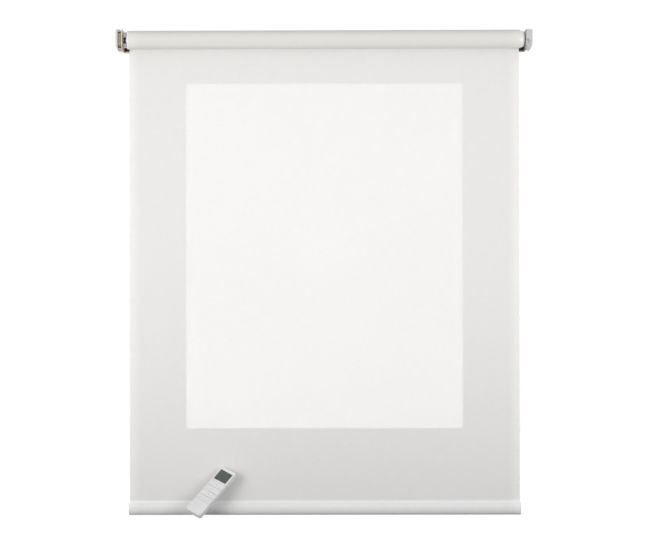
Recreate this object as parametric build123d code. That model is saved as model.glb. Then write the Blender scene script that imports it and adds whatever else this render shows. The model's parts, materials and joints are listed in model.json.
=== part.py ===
from build123d import *

import os
from math import acos, atan2, cos, degrees, hypot, pi, sin, sqrt, tan

# Millimetres. X runs along the roll, Y towards the wall and Z up. The wall is the
# plane y = 0, and the axis of the roll lies at z = 0, midway between the brackets.
overall_length = 1000.0
drop = 1147.0
axis_reach = 34.0
axis_y = -axis_reach

# Fits
running_gap = 0.1
slip_gap = 0.3
seat_gap = 0.05

# Brackets
plate_thickness = 2.0
plate_top = 23.0
idler_plate_top = 20.6
plate_bottom = 27.5
plate_reach = 60.0
plate_corner = 20.0
plate_small_corner = 2.0
flange_width = 22.0
slot_width = 4.5
slot_length = 9.0
slot_inset = 11.0
slot_height = 9.0

# Seat cups on the outside of the plates
cup_depth = 9.0
cup_floor = 1.5
cup_wall = 2.0
cup_front = 56.0
cup_back = 5.0
cup_top = 17.0
cup_bottom = 19.0
cup_corner = 4.0
cup_low_corner = 9.0
cup_rim = 1.5
cup_rim_width = 2.0
socket_size = 10.0
socket_wall = 2.0
seat_screw_places = [(-52.0, 8.0), (-46.0, -12.0)]
seat_screw_radius = 1.4
seat_screw_head = 2.6
seat_boss_radius = 3.0
peg_places = [(-24.0, -13.0), (-44.0, 12.0)]
peg_radius = 1.5

# Bracket covers
cover_depth = 4.8
cover_wall = 1.6
cover_bevel = 1.5
cover_slant_height = 11.5
cover_slant_depth = 4.8
cover_top_end = 6.0
cover_open_back = 18.0
cover_window = (-2.0, -20.0)
cover_window_width = 6.0
cover_groove = 0.8
cover_groove_places = (-10.5, -13.0)
cover_groove_ends = (-21.0, -5.0)

# Release levers, turning on a rivet inside each cup
lever_thickness = 2.5
lever_offset = 2.0
lever_pivot = (-13.0, -9.0)
lever_hub_radius = 3.5
lever_bar_width = 4.0
lever_arm_low = 7.3
lever_arm_high = 10.5
lever_hook_reach = 3.5
lever_hook_depth = 1.0
lever_groove_clearance = 0.4
lever_travel_room = 3.5
lever_tab = (-6.5, -2.5)
lever_tab_low = -24.2
lever_tab_height = 10.0
lever_tab_length = 27.0
lever_tab_round = 1.2
rivet_radius = 2.0
rivet_head_radius = 3.2
rivet_head_height = 1.0

# Roll
end_gap = 12.7
tube_radius = 21.0
tube_wall = 1.5
keyway_width = 8.0
keyway_depth = 1.3
strip_thickness = 0.8
fabric_thickness = 0.5
fabric_laps = 3

# Motor head, at the left end
head_radius = 17.9
head_width = 9.8
trim_ring_radius = 19.0
trim_ring_inset = 0.3
neck_radius = 16.4
neck_length = 26.0
head_plug_length = 10.0
crown_length = 22.0
crown_flange = 2.3
crown_flange_radius = 22.2
recess_width = 6.6
recess_low = -10.0
recess_high = 4.5
recess_depth = 3.2
inlet_width = 3.2
inlet_height = 8.9
inlet_depth = 7.0
inlet_wall = 0.3
inlet_round = 1.5
inlet_height_offset = -0.3
inlet_tongue = 0.7
button_radius = 1.7
button_height_offset = -7.7
button_length = 3.4
button_travel = 0.6
button_stand = 0.6

# Motor, inside the tube
housing_wall = 1.0
board_thickness = 1.6
board_width = 28.0
board_height = -4.0
board_length = 84.0
board_parts = [
    # start along the board, length, width, height
    (8.0, 12.0, 10.0, 6.0),
    (26.0, 9.0, 9.0, 1.4),
    (42.0, 16.0, 12.0, 2.2),
    (66.0, 8.0, 16.0, 5.0),
]
tray_end_wall = 1.5
tray_side_height = 3.0
cell_radius = 9.1
cell_length = 65.0
cell_spare = 1.0
cell_count = 3
motor_length = 50.0
motor_wall = 1.0
armature_radius = 8.0
motor_shaft_radius = 1.5

# Two planetary stages: the ring is fixed, and the sun drives the carrier
gear_module = 0.7
sun_teeth = 12
planet_teeth = 15
ring_teeth = sun_teeth + 2 * planet_teeth
planet_count = 3
pressure_angle = 25.0 * pi / 180
tooth_reach = 0.75
tooth_root = 1.0
tooth_play = 0.1
flank_steps = 3
first_gear_width = 7.0
second_gear_width = 8.0
carrier_radius = 13.0
first_carrier_thickness = 2.0
output_carrier_thickness = 3.0
planet_pin_radius = 1.2
gear_gap = 0.4
output_radius = 5.0
output_square = 8.0
cap_length = 8.0
wheel_length = 16.0
wheel_gap = 0.8
wheel_rim = 2.0
wheel_hub = 8.0
wheel_web = 3.0

# Idler, at the right end
bush_flange_radius = 9.5
bush_flange = 1.4
pin_radius = 3.0
pin_reach = 6.0
pin_lead = 0.6
pin_travel = 7.0
pin_collar_radius = 4.9
pin_collar = 3.0
pin_tail_radius = 2.0
plug_flange_radius = 21.3
plug_flange = 1.5
dome_base_radius = 20.4
dome_tip_radius = 17.0
dome_bulge = 0.8
plug_shoulder = 20.0
plug_bore_radius = 5.0
plug_hub_radius = 7.0
plug_rim = 2.0
plug_front_wall = 4.0
plug_rib = 1.5
plug_notch = 2.0
plug_notch_depth = 0.8
plug_notch_count = 12
plug_cap = 4.0
spring_radius = 3.4
spring_wire = 0.45
spring_turns = 8
spring_spare = 8.7

# Hem
pocket_height = 37.0
weld_height = 3.0
bar_height = 27.0
bar_thickness = 13.0
bar_wall = 1.2
hem_cap = 2.5
hem_cap_plug = 12.0
hem_cap_overlap = 0.5
hem_cap_edge = 0.8
hem_clearance = 0.1

# Handset, seen from its face: x across, y up its length, z out of the face
handset_width = 46.0
handset_length = 140.0
handset_depth = 13.0
handset_corner = 5.0
handset_edge = 2.4
handset_wall = 1.6
parting_height = 7.4
face_thickness = 1.0
face_inset = 0.6
face_edge = 0.4
deck_thickness = 1.2
display_width = 38.3
display_height = 29.2
display_top_margin = 8.3
display_rest = 1.6
window_thickness = 0.4
panel_margin = 0.5
keys_low = 37.4
keys_below_display = 5.1
key_rows = 4
key_field_width = 38.0
key_slit = 0.6
key_stand = 0.2
key_lip = 0.7
key_edge = 0.3
key_lip_thickness = 0.8
key_travel = 0.8
handset_board_thickness = 1.6
handset_board_low = 36.0
handset_board_parts = [
    # x, y, width, length, height
    (-8.0, 62.0, 8.0, 8.0, 1.2),
    (7.0, 70.0, 5.0, 9.0, 1.6),
    (0.0, 110.0, 14.0, 6.0, 2.0),
]
board_rise = 0.6
well_radius = 12.6
well_wall = 1.2
well_height = 7.2
well_centre = 19.0
coin_radius = 12.25
coin_thickness = 5.0
door_width = 28.0
door_length = 33.0
door_thickness = 1.3
door_tongue = 1.0
door_tongue_thickness = 0.6
door_floor = 3.0
door_surround = 2.0
door_stop = 4.0
door_ridge = 0.6
door_ridge_depth = 0.3
door_ridge_length = 10.0
contact_thickness = 0.3
contact_width = 4.0
contact_foot = 0.5
contact_places = (-5.0, 5.0)
screw_inset = 4.4
screw_boss_radius = 2.4
screw_radius = 1.0
screw_head_radius = 2.0
screw_head_height = 1.2
screw_recess = 0.8

# Handset as it stands, clear of the hem's way up, with its foot level with the hem
handset_x = -311.0
handset_up = Vector(0.603, 0.414, 0.682).normalized()
handset_face_lean = Vector(-0.24, -0.72, 0.65)

# Places that follow from the sizes
bracket_depth = plate_thickness + cup_depth + cover_depth
plate_x = overall_length / 2 - bracket_depth
tube_end = end_gap
roll_half = plate_x - end_gap
bore_radius = tube_radius - tube_wall
roll_radius = tube_radius + fabric_laps * fabric_thickness
fit_radius = bore_radius - running_gap
sheet_front = axis_y + roll_radius + seat_gap
sheet_middle = sheet_front + fabric_thickness / 2
hem_low = -drop
hem_top = hem_low + pocket_height
hem_front = sheet_middle - bar_thickness / 2 - hem_clearance - fabric_thickness
cup_open = -plate_thickness
cup_outer = cup_open - cup_depth
cup_inner = cup_outer + cup_floor
lever_outer = cup_open - lever_offset - lever_thickness
lever_inner = lever_outer + lever_thickness


def block(x_range, y_range, z_range):
    """A box between two limits along each axis."""
    size = [high - low for low, high in (x_range, y_range, z_range)]
    centre = [(high + low) / 2 for low, high in (x_range, y_range, z_range)]
    return Pos(*centre) * Box(*size)


def rod(radius, start, end, y=axis_y, z=0.0):
    """A round bar along X."""
    return Pos((start + end) / 2, y, z) * Rot(0, 90, 0) * Cylinder(radius, end - start)


def sleeve(outer, inner, start, end, y=axis_y, z=0.0):
    """A round tube along X."""
    return rod(outer, start, end, y, z) - rod(inner, start - 1, end + 1, y, z)


def slab(outline, start, end):
    """An outline drawn in Y and Z, given a thickness along X."""
    return extrude(Plane.YZ.offset(start) * outline, end - start)


def rectangle(y_range, z_range, corner):
    """A rectangle in Y and Z with rounded corners."""
    width = y_range[1] - y_range[0]
    height = z_range[1] - z_range[0]
    middle = Pos(sum(y_range) / 2, sum(z_range) / 2)
    return middle * RectangleRounded(width, height, corner)


def oval(thickness, height, low):
    """An upright ellipse, centred on the fabric."""
    return Pos(sheet_middle, low + height / 2) * Ellipse(thickness / 2, height / 2)


# The end pieces are drawn once, with X measured inward from the inner face of the
# plate. left() and right() bring them to their ends of the blind.
def left(shape):
    return Pos(-plate_x, 0, 0) * shape


def right(shape):
    return mirror(left(shape), about=Plane.YZ)


# Brackets
def bracket_outline(inset=0.0, top=plate_top):
    front = -plate_reach + inset
    back = -inset
    low = -plate_bottom + inset
    high = top - inset
    middle = Pos((front + back) / 2, (low + high) / 2)
    outline = middle * Rectangle(back - front, high - low)
    front_corners = outline.vertices().sort_by(Axis.X)[:2]
    lower, upper = front_corners.sort_by(Axis.Y)
    outline = fillet(upper, plate_small_corner)
    lower = outline.vertices().sort_by_distance((front, low))[0]
    return fillet(lower, plate_corner - inset)


def bracket_plate(top):
    plate = slab(bracket_outline(top=top), -plate_thickness, 0)
    flange = block((0, flange_width), (-plate_thickness, 0), (-plate_bottom, top))
    plate += flange
    hole = socket_size / 2 + 2 * running_gap
    plate -= block((-plate_thickness - 1, 1), (axis_y - hole, axis_y + hole), (-hole, hole))
    for z in (-slot_height, slot_height):
        slot = Plane.XZ * (Pos(slot_inset, z) * SlotOverall(slot_length, slot_width))
        plate -= extrude(slot, plate_thickness + 1, both=True)
    notch_back = -plate_thickness - slip_gap
    notch_front = lever_tab[0] - lever_travel_room
    notch_top = lever_tab_low + lever_tab_height + 1
    notch_low = -plate_bottom - 1
    plate -= block((-plate_thickness - 1, 1), (notch_front, notch_back), (notch_low, notch_top))
    for y, z in seat_screw_places:
        plate -= rod(seat_screw_radius + running_gap, -plate_thickness - 1, 1, y, z)
        plate -= screw_head(seat_screw_head + seat_gap, seat_screw_radius, y, z)
    plate -= rod(rivet_radius, -plate_thickness - 1, 1, *lever_pivot)
    return plate


def screw_head(head_radius_at_face, shank_radius, y, z):
    """The cone of a countersunk head, flush with the inner face of the plate."""
    height = head_radius_at_face - shank_radius
    cone = Cone(shank_radius, head_radius_at_face, height)
    return Pos(-height / 2, y, z) * Rot(0, 90, 0) * cone


def seat_screw(y, z):
    shank = rod(seat_screw_radius, cup_inner + 1, 0, y, z)
    return shank + screw_head(seat_screw_head, seat_screw_radius, y, z)


def cup_outline(grow=0.0):
    front, back = -cup_front - grow, -cup_back + grow
    low, high = -cup_bottom - grow, cup_top + grow
    middle = Pos((front + back) / 2, (low + high) / 2)
    outline = middle * Rectangle(back - front, high - low)
    for y, z in ((front, high), (back, low), (back, high)):
        corner = outline.vertices().sort_by_distance((y, z))[0]
        outline = fillet(corner, cup_corner + grow)
    corner = outline.vertices().sort_by_distance((front, low))[0]
    return fillet(corner, cup_low_corner + grow)


def seat_cup():
    cup = slab(cup_outline(), cup_outer, cup_open)
    cup += slab(cup_outline(cup_rim), cup_open - cup_rim_width, cup_open)
    cup -= slab(cup_outline(-cup_wall), cup_inner, cup_open + 1)

    # The square socket, with a slot in its top for the lever's hook
    half = socket_size / 2
    wall = half + socket_wall
    cup += block((cup_inner, cup_open), (axis_y - wall, axis_y + wall), (-wall, wall))
    bore = half + running_gap
    cup -= block((cup_inner, cup_open + 1), (axis_y - bore, axis_y + bore), (-bore, bore))
    slot_x = (lever_outer - 2 * slip_gap, lever_inner + 2 * slip_gap)
    cup -= block(slot_x, (axis_y - 1, axis_y + wall + 1), (0, wall + 1))

    # Room for the lever's tail at the lower back corner
    tail_front = lever_pivot[0] - lever_travel_room
    cup -= block(
        (cup_inner, cup_open + 1),
        (tail_front, -cup_back + cup_rim + 1),
        (-cup_bottom - cup_rim - 1, lever_pivot[1] + lever_bar_width / 2),
    )
    for y, z in seat_screw_places:
        cup += rod(seat_boss_radius, cup_inner, cup_open, y, z)
        cup -= rod(seat_screw_radius, cup_inner + 1, cup_open + 1, y, z)
    for y, z in peg_places:
        cup -= rod(peg_radius + seat_gap, cup_outer - 1, cup_inner + 1, y, z)
    return cup


def bracket_cover(top):
    """The cover's shell: a shallow box over the outside of the cup, with a slanted foot."""
    outer_face = cup_outer - cover_depth
    cover = slab(bracket_outline(top=top), outer_face, cup_outer)
    rim = cover.faces().sort_by(Axis.X)[0].edges()
    rim = rim.filter_by(lambda edge: edge.center().Y < -1)
    cover = chamfer(rim, cover_bevel)
    hollow = slab(bracket_outline(cover_wall, top), outer_face + cover_wall, cup_outer + 1)
    cover -= slant(0.0)
    cover -= hollow - slant(cover_wall)
    for y, z in peg_places:
        cover += rod(peg_radius, outer_face + 1, cup_inner - slip_gap, y, z)
    return cover


def cover_lever_room():
    """What the cover leaves open at its lower back corner, for the lever."""
    return block((cup_outer - 1, 1), (-cover_open_back, 1), (-plate_bottom - 1, 0))


def motor_side_cover():
    """Open at the front, so that the cup shows between the cover's top and its foot."""
    foot_end = cup_open - slip_gap
    foot_high = -cup_bottom - cup_rim - slip_gap
    outside = slab(bracket_outline(), cup_outer, foot_end) - cover_lever_room()
    top_x = (cup_outer, cup_outer + cover_top_end)
    above = outside & block(top_x, (-plate_reach, 0), (cup_top + slip_gap, plate_top))
    below = outside & block((cup_outer, foot_end), (-plate_reach, 0), (-plate_bottom, foot_high))
    return bracket_cover(plate_top) + above + below


def idler_side_cover():
    """Closed all round, with a window low at the front and two grooves beside it."""
    end = cup_open - slip_gap
    edge = slab(bracket_outline(top=idler_plate_top), cup_outer, end)
    edge -= slab(bracket_outline(cover_wall, idler_plate_top), cup_outer - 1, end + 1)
    cover = bracket_cover(idler_plate_top) + (edge - cover_lever_room())
    low, high = sorted(cover_window)
    front = (-plate_reach - 1, -plate_reach + cover_wall + 1)
    cover -= block((end - cover_window_width, end + 1), front, (low, high))
    for place in cover_groove_places:
        groove_x = (place - cover_groove / 2, place + cover_groove / 2)
        cover -= block(groove_x, (-plate_reach - 1, -plate_reach + cover_groove), cover_groove_ends)
    return cover


def slant(wall):
    """What the slanted foot of the cover takes off its outer lower edge."""
    outer_face = cup_outer - cover_depth
    corner = (outer_face - 1, -plate_bottom - 1)
    upper = (outer_face + wall, -plate_bottom + cover_slant_height + wall)
    lower = (outer_face + cover_slant_depth + wall, -plate_bottom)
    points = [corner, (corner[0], upper[1]), upper, lower, (lower[0], corner[1])]
    wedge = make_face(Polyline(*points, close=True))
    return extrude(Plane.XZ.offset(-1) * wedge, plate_reach + 2)


def release_lever():
    pivot_y, pivot_z = lever_pivot
    half_bar = lever_bar_width / 2
    hook_back = axis_y + lever_hook_reach
    hook_low = socket_size / 2 - lever_hook_depth
    body = (lever_outer, lever_inner)
    lever = rod(lever_hub_radius, *body, pivot_y, pivot_z)
    lever += block(body, (pivot_y - half_bar, pivot_y + half_bar), (pivot_z, lever_arm_high))
    lever += block(body, (axis_y, pivot_y), (lever_arm_low, lever_arm_high))
    lever += block(body, (axis_y, hook_back), (hook_low, lever_arm_high))

    # The tail, and the tab that reaches through the plate and behind the fabric
    tab_high = lever_tab_low + lever_tab_height
    tab_section = rectangle(lever_tab, (lever_tab_low, tab_high), lever_tab_round)
    lever += slab(tab_section, lever_outer, lever_tab_length)
    tail = Polyline(
        (pivot_y - half_bar, pivot_z),
        (lever_tab[0], tab_high - lever_bar_width),
        (lever_tab[0], lever_tab_low + half_bar),
        (lever_tab[1], tab_high - half_bar),
        (pivot_y + half_bar, pivot_z),
        close=True,
    )
    lever += slab(make_face(tail), *body)
    return lever - rod(rivet_radius + running_gap, lever_outer - 1, lever_inner + 1, *lever_pivot)


def lever_rivet():
    head_inner = lever_outer - running_gap
    rivet = rod(rivet_radius, head_inner, 0, *lever_pivot)
    rivet += rod(rivet_head_radius, head_inner - rivet_head_height, head_inner, *lever_pivot)
    shoulder = (lever_inner + running_gap, -plate_thickness)
    return rivet + rod(rivet_head_radius, *shoulder, *lever_pivot)


# Roll
def keyway_room(clearance):
    """What a wheel inside the tube leaves free for the tube's inward rib."""
    half = keyway_width / 2 + tube_wall + clearance
    low = tube_radius - keyway_depth - tube_wall - clearance
    return block((-plate_x, plate_x), (axis_y - half, axis_y + half), (low, tube_radius + 1))


def roller_tube():
    ends = (-roll_half, roll_half)
    rib = rod(tube_radius, *ends) & keyway_room(0.0)
    half = keyway_width / 2
    groove_floor = tube_radius - keyway_depth
    groove = block((-plate_x, plate_x), (axis_y - half, axis_y + half), (groove_floor, plate_top))
    return sleeve(tube_radius, bore_radius, *ends) + rib - groove


def fabric_strip():
    half = keyway_width / 2 - running_gap
    low = tube_radius - keyway_depth + seat_gap
    return block((-roll_half, roll_half), (axis_y - half, axis_y + half), (low, low + strip_thickness))


def fabric_roll():
    return sleeve(roll_radius, tube_radius + seat_gap, -roll_half, roll_half)


# Fabric and hem
def fabric_sheet():
    return block((-roll_half, roll_half), (sheet_front, sheet_front + fabric_thickness), (hem_top, 0))


def teardrop(thickness, height, low, crown):
    """The foot of an upright ellipse, in Y and Z, whose sides leave it straight for a crown.

    The crown is a list of half widths and heights, from the lowest up.
    """
    half, rise = thickness / 2, height / 2
    middle = low + rise
    across, up = crown[0][0] / half, (crown[0][1] - middle) / rise
    leaving = degrees(atan2(up, across) - acos(1 / hypot(across, up)))
    centre = (sheet_middle, middle)
    foot = EllipticalCenterArc(centre, half, rise, 180 - leaving, arc_size=180 + 2 * leaving)
    rising = [(sheet_middle + x, z) for x, z in crown]
    falling = [(sheet_middle - x, z) for x, z in reversed(crown) if x > 0]
    sides = Polyline(foot @ 1, *rising, *falling, foot @ 0)
    return make_face(foot.edges() + sides.edges())


def hem_pocket():
    ends = (-roll_half, roll_half)
    inside = [size + 2 * hem_clearance for size in (bar_thickness, bar_height)]
    outside = [size + 2 * fabric_thickness for size in inside]
    weld_low = hem_top - weld_height
    crown = [(fabric_thickness, weld_low), (fabric_thickness, hem_top)]
    apex = [(0, weld_low - fabric_thickness)]
    pocket = slab(teardrop(*outside, hem_low, crown), *ends)
    return pocket - slab(teardrop(*inside, hem_low + fabric_thickness, apex), *ends)


def hem_bar():
    low = hem_low + fabric_thickness + hem_clearance
    ends = (-roll_half, roll_half)
    bar = slab(oval(bar_thickness, bar_height, low), *ends)
    inner = 2 * bar_wall
    return bar - slab(oval(bar_thickness - inner, bar_height - inner, low + bar_wall), *ends)


def hem_end_cap():
    low = hem_low + fabric_thickness + hem_clearance
    inner = 2 * (bar_wall + hem_clearance)
    wider = 2 * hem_cap_overlap
    outline = oval(bar_thickness + wider, bar_height + wider, low - hem_cap_overlap)
    cap = slab(outline, roll_half, roll_half + hem_cap)
    cap = fillet(cap.faces().sort_by(Axis.X)[-1].edges(), hem_cap_edge)
    plug_low = low + inner / 2
    plug = oval(bar_thickness - inner, bar_height - inner, plug_low)
    return cap + slab(plug, roll_half - hem_cap_plug, roll_half)


# Motor, with X measured inward from the left plate
head_start = slip_gap
head_end = head_start + head_width
crown_face = tube_end - crown_flange
neck_end = head_end + neck_length
head_rear = neck_end + head_plug_length
recess_middle = head_start + head_width / 2
recess_x = (recess_middle - recess_width / 2, recess_middle + recess_width / 2)
recess_floor = axis_y - head_radius + recess_depth
housing_bore = neck_radius + running_gap
tray_start = head_rear + board_length
cell_pitch = cell_length + cell_spare
tray_length = cell_count * cell_pitch + 2 * tray_end_wall
motor_start = tray_start + tray_length + slip_gap
motor_end = motor_start + motor_length
planet_circle = gear_module * (sun_teeth + planet_teeth) / 2
first_gear = motor_end + gear_gap
first_carrier_face = first_gear + first_gear_width + gear_gap
first_carrier_back = first_carrier_face + first_carrier_thickness
second_gear = first_carrier_back + gear_gap
output_face = second_gear + second_gear_width + gear_gap
output_back = output_face + output_carrier_thickness
cap_start = output_back + gear_gap
cap_end = cap_start + cap_length
wheel_start = cap_end + wheel_gap
wheel_end = wheel_start + wheel_length


def motor_head():
    head = rod(head_radius, head_start, head_end)
    head += rod(neck_radius, head_end, head_rear)
    half = socket_size / 2
    spigot_end = cup_inner + slip_gap
    head += block((spigot_end, head_start), (axis_y - half, axis_y + half), (-half, half))

    # The groove that the lever's hook drops into
    groove_floor = half - lever_hook_depth - lever_groove_clearance
    groove_x = (lever_outer - slip_gap, lever_inner + slip_gap)
    head -= block(groove_x, (axis_y - half - 1, axis_y + half + 1), (groove_floor, half + 1))

    # The recess at the front, with the holes for the inlet and the button
    front = axis_y - head_radius - 1
    head -= block(recess_x, (front, recess_floor), (recess_low, recess_high))
    inlet_x = inlet_width / 2 + seat_gap
    inlet_z = inlet_height / 2 + seat_gap
    head -= block(
        (recess_middle - inlet_x, recess_middle + inlet_x),
        (front, recess_floor + inlet_depth),
        (inlet_height_offset - inlet_z, inlet_height_offset + inlet_z),
    )
    room = button_length - button_stand + button_travel + slip_gap
    head -= front_rod(button_radius + running_gap, front, recess_floor + room, button_height_offset)
    return head


def front_rod(radius, front, back, z):
    """A round bar along Y in the middle of the motor head's recess."""
    return Pos(recess_middle, (front + back) / 2, z) * Rot(90, 0, 0) * Cylinder(radius, back - front)


def head_trim_ring():
    ring = sleeve(
        trim_ring_radius,
        head_radius + seat_gap,
        head_start + trim_ring_inset,
        head_end - trim_ring_inset,
    )
    front = axis_y - trim_ring_radius - 1
    return ring - block(recess_x, (front, recess_floor), (recess_low, recess_high))


def charging_inlet():
    shell_x = (recess_middle - inlet_width / 2, recess_middle + inlet_width / 2)
    shell_z = (inlet_height_offset - inlet_height / 2, inlet_height_offset + inlet_height / 2)
    depth = (recess_floor, recess_floor + inlet_depth)
    shell = block(shell_x, depth, shell_z)
    shell = fillet(shell.edges().filter_by(Axis.Y), inlet_round)
    wall = inlet_wall
    cavity = block(
        (shell_x[0] + wall, shell_x[1] - wall),
        (depth[0] - 1, depth[1] - wall),
        (shell_z[0] + wall, shell_z[1] - wall),
    )
    cavity = fillet(cavity.edges().filter_by(Axis.Y), inlet_round - wall)
    tongue_half = inlet_tongue / 2
    tongue = block(
        (recess_middle - tongue_half, recess_middle + tongue_half),
        (depth[0] + 1, depth[1]),
        (shell_z[0] + inlet_tongue + wall, shell_z[1] - inlet_tongue - wall),
    )
    return shell - cavity + tongue


def set_button():
    front = recess_floor - button_stand
    return front_rod(button_radius, front, front + button_length, button_height_offset)


def crown_ring():
    ring = sleeve(fit_radius, housing_bore, tube_end, tube_end + crown_length)
    ring -= keyway_room(running_gap)
    return ring + sleeve(crown_flange_radius, housing_bore, crown_face, tube_end)


def motor_housing():
    return sleeve(housing_bore + housing_wall, housing_bore, neck_end, cap_end)


def control_board():
    half = board_width / 2
    top = board_height + board_thickness
    board = block((head_rear, tray_start), (axis_y - half, axis_y + half), (board_height, top))
    for place, length, width, height in board_parts:
        start = head_rear + place
        part_y = (axis_y - width / 2, axis_y + width / 2)
        board += block((start, start + length), part_y, (top, top + height))
    return board


def battery_tray():
    tray = rod(neck_radius, tray_start, tray_start + tray_length)
    cells = (tray_start + tray_end_wall, tray_start + tray_length - tray_end_wall)
    tray -= rod(cell_radius + running_gap, *cells)
    upper = (axis_y - neck_radius, axis_y + neck_radius)
    return tray - block(cells, upper, (tray_side_height, neck_radius))


def battery_cells():
    first = tray_start + tray_end_wall + cell_spare / 2
    starts = [first + cell_pitch * index for index in range(cell_count)]
    return [rod(cell_radius, start, start + cell_length) for start in starts]


def motor_can():
    can = rod(neck_radius, motor_start, motor_end)
    can -= rod(neck_radius - motor_wall, motor_start + motor_wall, motor_end - motor_wall)
    return can - rod(motor_shaft_radius + running_gap, motor_start - 1, motor_end + 1)


def involute(angle):
    return tan(angle) - angle


def gear_outline(teeth, tip, root, play):
    """A spur gear in Y and Z. Its first tooth points along the local X axis."""
    pitch = gear_module * teeth / 2
    base = pitch * cos(pressure_angle)
    half_tooth = (pi * gear_module / 2 - play) / (2 * pitch) + involute(pressure_angle)
    radii = [root + (tip - root) * step / flank_steps for step in range(flank_steps + 1)]
    offsets = [half_tooth - involute(acos(min(1.0, base / radius))) for radius in radii]
    flank = list(zip(radii, offsets))
    points = []
    for tooth in range(teeth):
        middle = 2 * pi * tooth / teeth
        rising = [(radius, middle - offset) for radius, offset in flank]
        falling = [(radius, middle + offset) for radius, offset in reversed(flank)]
        points += [(radius * cos(angle), radius * sin(angle)) for radius, angle in rising + falling]
    return make_face(Polyline(*points, close=True))


def outside_gear(teeth, start, width, turn=0.0, circle=0.0):
    """A gear with outside teeth, on a circle about the roll's axis, turned to face outward."""
    pitch = gear_module * teeth / 2
    reach = tooth_reach * gear_module
    outline = gear_outline(teeth, pitch + reach, pitch - tooth_root * gear_module, tooth_play)
    placed = Pos(axis_y, 0) * Rot(0, 0, turn) * Pos(circle, 0) * outline
    return slab(placed, start, start + width)


def planet(start, width, turn):
    gear = outside_gear(planet_teeth, start, width, turn, planet_circle)
    return gear - planet_pin(start - 1, start + width + 1, turn, planet_pin_radius + seat_gap)


def planet_pin(start, end, turn, radius=planet_pin_radius):
    angle = turn * pi / 180
    y = axis_y + planet_circle * cos(angle)
    return rod(radius, start, end, y, planet_circle * sin(angle))


planet_turns = [360.0 * index / planet_count for index in range(planet_count)]


def ring_gear():
    ring = rod(neck_radius, motor_end, cap_start)
    pitch = gear_module * ring_teeth / 2
    reach = tooth_reach * gear_module
    inside = gear_outline(ring_teeth, pitch + tooth_root * gear_module, pitch - reach, -tooth_play)
    half_pitch = 180.0 / ring_teeth
    turn = 0.0 if planet_teeth % 2 else half_pitch
    placed = Pos(axis_y, 0) * Rot(0, 0, turn) * inside
    return ring - slab(placed, motor_end - 1, cap_start + 1)


def motor_rotor():
    """The armature on its shaft, with the first sun gear cut on the shaft's end."""
    stack_end = motor_end - motor_wall - gear_gap
    stack_start = motor_start + motor_wall + gear_gap
    rotor = rod(armature_radius, stack_start, stack_end)
    rotor += rod(motor_shaft_radius, motor_start, first_gear)
    return rotor + outside_gear(sun_teeth, first_gear, first_gear_width)


def first_carrier():
    carrier = rod(carrier_radius, first_carrier_face, first_carrier_back)
    carrier += outside_gear(sun_teeth, first_carrier_back, output_face - gear_gap - first_carrier_back)
    for turn in planet_turns:
        carrier += planet_pin(first_gear, first_carrier_face, turn)
    return carrier


def output_carrier():
    carrier = rod(carrier_radius, output_face, output_back)
    carrier += rod(output_radius, output_back, wheel_start)
    half = output_square / 2
    carrier += block((wheel_start, wheel_end), (axis_y - half, axis_y + half), (-half, half))
    for turn in planet_turns:
        carrier += planet_pin(second_gear, output_face, turn)
    return carrier


def gearbox_cap():
    return sleeve(neck_radius, output_radius + running_gap, cap_start, cap_end)


def drive_wheel():
    ends = (wheel_start, wheel_end)
    wheel = sleeve(fit_radius, fit_radius - wheel_rim, *ends)
    wheel += rod(wheel_hub, *ends)
    middle = (wheel_start + wheel_end - wheel_web) / 2
    wheel += rod(fit_radius - wheel_rim / 2, middle, middle + wheel_web)
    key_half = keyway_width / 2 + tube_wall + wheel_rim
    key_low = tube_radius - keyway_depth - tube_wall - 2 * wheel_rim
    key = block(ends, (axis_y - key_half, axis_y + key_half), (key_low, fit_radius))
    wheel += key & rod(fit_radius, *ends)
    wheel -= keyway_room(running_gap)
    half = output_square / 2 + seat_gap
    return wheel - block((wheel_start - 1, wheel_end + 1), (axis_y - half, axis_y + half), (-half, half))


# Idler, with X measured inward from the right plate
dome_tip = bush_flange + slip_gap
collar_start = plug_shoulder + running_gap
collar_end = collar_start + pin_collar
spring_room = pin_travel + 2 * spring_wire * spring_turns + spring_spare
plug_cap_start = collar_end + spring_room
plug_end = plug_cap_start + plug_cap
plug_hollow = tube_end + plug_front_wall


def idler_bush():
    half = socket_size / 2
    end = cup_inner + slip_gap
    bush = rod(bush_flange_radius, 0, bush_flange)
    bush += block((end, 0), (axis_y - half, axis_y + half), (-half, half))
    groove_floor = half - lever_hook_depth - lever_groove_clearance
    groove_x = (lever_outer - slip_gap, lever_inner + slip_gap)
    bush -= block(groove_x, (axis_y - half - 1, axis_y + half + 1), (groove_floor, half + 1))
    return bush - rod(pin_radius + running_gap, -pin_reach - 1, bush_flange + 1)


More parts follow.
